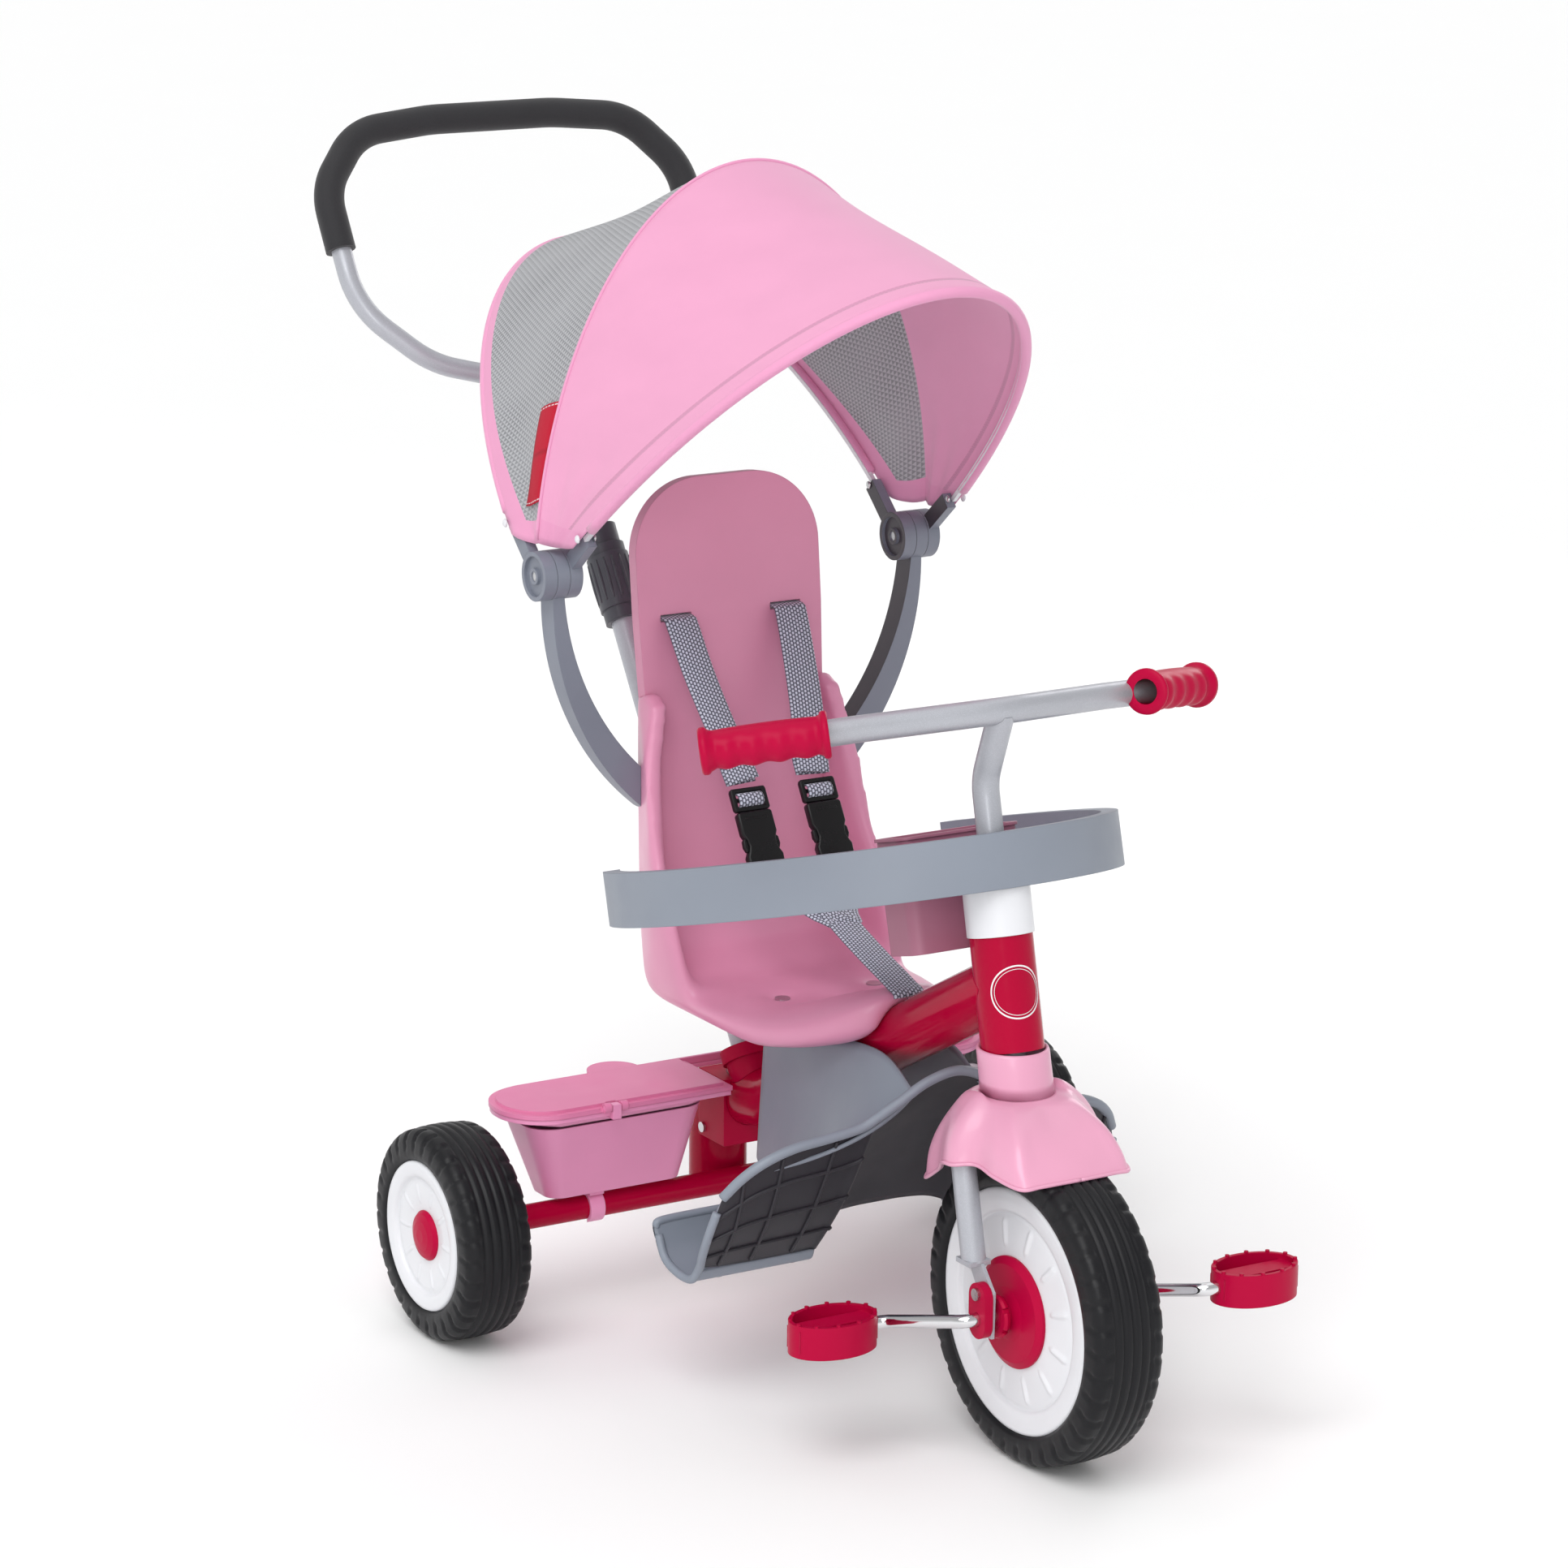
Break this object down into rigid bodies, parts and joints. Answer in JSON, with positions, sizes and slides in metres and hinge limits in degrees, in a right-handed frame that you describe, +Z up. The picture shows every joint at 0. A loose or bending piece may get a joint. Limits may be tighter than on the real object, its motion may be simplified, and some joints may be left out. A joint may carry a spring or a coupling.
{
  "type": "children's tricycle",
  "caption": "Child's push tricycle with pedal front wheel, bucket seat and harness, wrap-round tray, folding sun canopy, parent handle and lidded rear bin.",
  "frame": {"origin": "middle of the footprint on the ground", "axes": "+X to the rider's left along the wheel axles, -Y forwards, +Z up"},
  "size_m": [0.624, 1.0753, 0.9863],
  "materials": {
    "crimson_paint": "gloss enamel",
    "silver_paint": "fine metallic paint",
    "bright_zinc": "zinc plated",
    "chrome": "polished",
    "pink_plastic": "fine moulded texture",
    "pink_back": "fine moulded texture",
    "grey_plastic": "fine moulded texture",
    "dark_plastic": "moulded",
    "crimson_plastic": "satin moulded",
    "white_plastic": "blow moulded satin",
    "black_plastic": "moulded acetal",
    "tyre_black": "solid moulded tyre",
    "black_foam": "closed cell foam",
    "pink_fabric": "plain weave",
    "print_fabric": "printed weave",
    "grey_webbing": "woven webbing"
  },
  "bodies": {
    "frame": {"head_tube": "crimson_paint", "headset_bushes": "dark_plastic", "upper_collar": "white_plastic", "main_tube": "crimson_paint", "rear_axle_tube": "crimson_paint", "rear_axle_rod": "bright_zinc", "axle_bushes": "dark_plastic", "handle_socket": "crimson_plastic", "socket_screws": "bright_zinc", "handle_post": "silver_paint", "seat_base": "pink_plastic", "seat_back": "pink_back", "seat_bracket": "bright_zinc", "seat_bolts": "bright_zinc", "crotch_strap": "grey_webbing", "shoulder_strap_right": "grey_webbing", "shoulder_strap_left": "grey_webbing", "buckle_right": "black_plastic", "buckle_left": "black_plastic", "tray": "grey_plastic", "tray_tub": "pink_plastic", "footrest": "grey_plastic", "footrest_feet": "tyre_black", "storage_bin": "pink_plastic", "support_arm_right": "grey_plastic", "support_arm_left": "grey_plastic", "hub_bolts": "bright_zinc"},
    "fork": {"fork_crown": "silver_paint", "fork_legs": "silver_paint", "axle_brackets": "crimson_plastic", "bracket_screws": "bright_zinc", "fender": "pink_plastic", "stem": "silver_paint", "handlebar": "silver_paint", "grip_right": "crimson_plastic", "grip_left": "crimson_plastic"},
    "front_wheel": {"front_tyre": "tyre_black", "front_rims": "white_plastic", "front_hubs": "crimson_plastic", "crank": "chrome"},
    "clutch": {"clutch_sleeve": "crimson_plastic"},
    "pedal_right": {"pedal_right": "crimson_plastic"},
    "pedal_left": {"pedal_left": "crimson_plastic"},
    "rear_wheel_right": {"rear_tyre_right": "tyre_black", "rear_rim_right": "white_plastic", "rear_cap_right": "crimson_plastic"},
    "rear_wheel_left": {"rear_tyre_left": "tyre_black", "rear_rim_left": "white_plastic", "rear_cap_left": "crimson_plastic"},
    "rear_bow": {"rear_bow": "white_plastic", "rear_bow_arms": "grey_plastic", "canopy_rear_panel": "print_fabric"},
    "front_bow": {"front_bow": "white_plastic", "front_bow_arms": "grey_plastic", "canopy_front_panel": "pink_fabric"},
    "handle": {"handle_tube": "silver_paint", "handle_foam": "black_foam"},
    "twist_collar": {"twist_collar": "dark_plastic"},
    "bin_lid": {"bin_lid": "pink_plastic"}
  },
  "joints": [
    {"name": "steering", "type": "hinge", "parent": "frame", "child": "fork", "pos_m": [0, -0.40406, 0.127], "axis": [0, 0.2223, 0.975], "range_deg": [-30, 30]},
    {"name": "front_wheel_spin", "type": "hinge", "parent": "fork", "child": "front_wheel", "pos_m": [0, -0.41066, 0.127], "axis": [1, 0, 0], "continuous": true},
    {"name": "clutch_slide", "type": "slide", "parent": "front_wheel", "child": "clutch", "axis": [1, 0, 0], "range_m": [0, 0.0025]},
    {"name": "pedal_right_spin", "type": "hinge", "parent": "front_wheel", "child": "pedal_right", "pos_m": [-0.1556, -0.34276, 0.1117], "axis": [1, 0, 0], "continuous": true},
    {"name": "pedal_left_spin", "type": "hinge", "parent": "front_wheel", "child": "pedal_left", "pos_m": [0.1556, -0.47856, 0.1423], "axis": [1, 0, 0], "continuous": true},
    {"name": "rear_wheel_right_spin", "type": "hinge", "parent": "frame", "child": "rear_wheel_right", "pos_m": [-0.28, 0.07034, 0.092], "axis": [1, 0, 0], "continuous": true},
    {"name": "rear_wheel_left_spin", "type": "hinge", "parent": "frame", "child": "rear_wheel_left", "pos_m": [0.28, 0.07034, 0.092], "axis": [1, 0, 0], "continuous": true},
    {"name": "rear_bow_tilt", "type": "hinge", "parent": "frame", "child": "rear_bow", "pos_m": [0, 0.08204, 0.6473], "axis": [1, 0, 0], "range_deg": [-10, 20]},
    {"name": "front_bow_fold", "type": "hinge", "parent": "rear_bow", "child": "front_bow", "pos_m": [0, 0.08204, 0.6473], "axis": [1, 0, 0], "range_deg": [-45, 10], "deforming": ["canopy_front_panel", "canopy_rear_panel"]},
    {"name": "handle_slide", "type": "slide", "parent": "frame", "child": "handle", "axis": [0, 0.5397, 0.8419], "range_m": [-0.09, 0]},
    {"name": "collar_twist", "type": "hinge", "parent": "frame", "child": "twist_collar", "pos_m": [0, 0.29725, 0.59], "axis": [0, 0.5397, 0.8419], "range_deg": [-45, 45]},
    {"name": "bin_lid_hinge", "type": "hinge", "parent": "frame", "child": "bin_lid", "pos_m": [0, 0.02134, 0.1953], "axis": [1, 0, 0], "range_deg": [0, 32]}
  ]
}
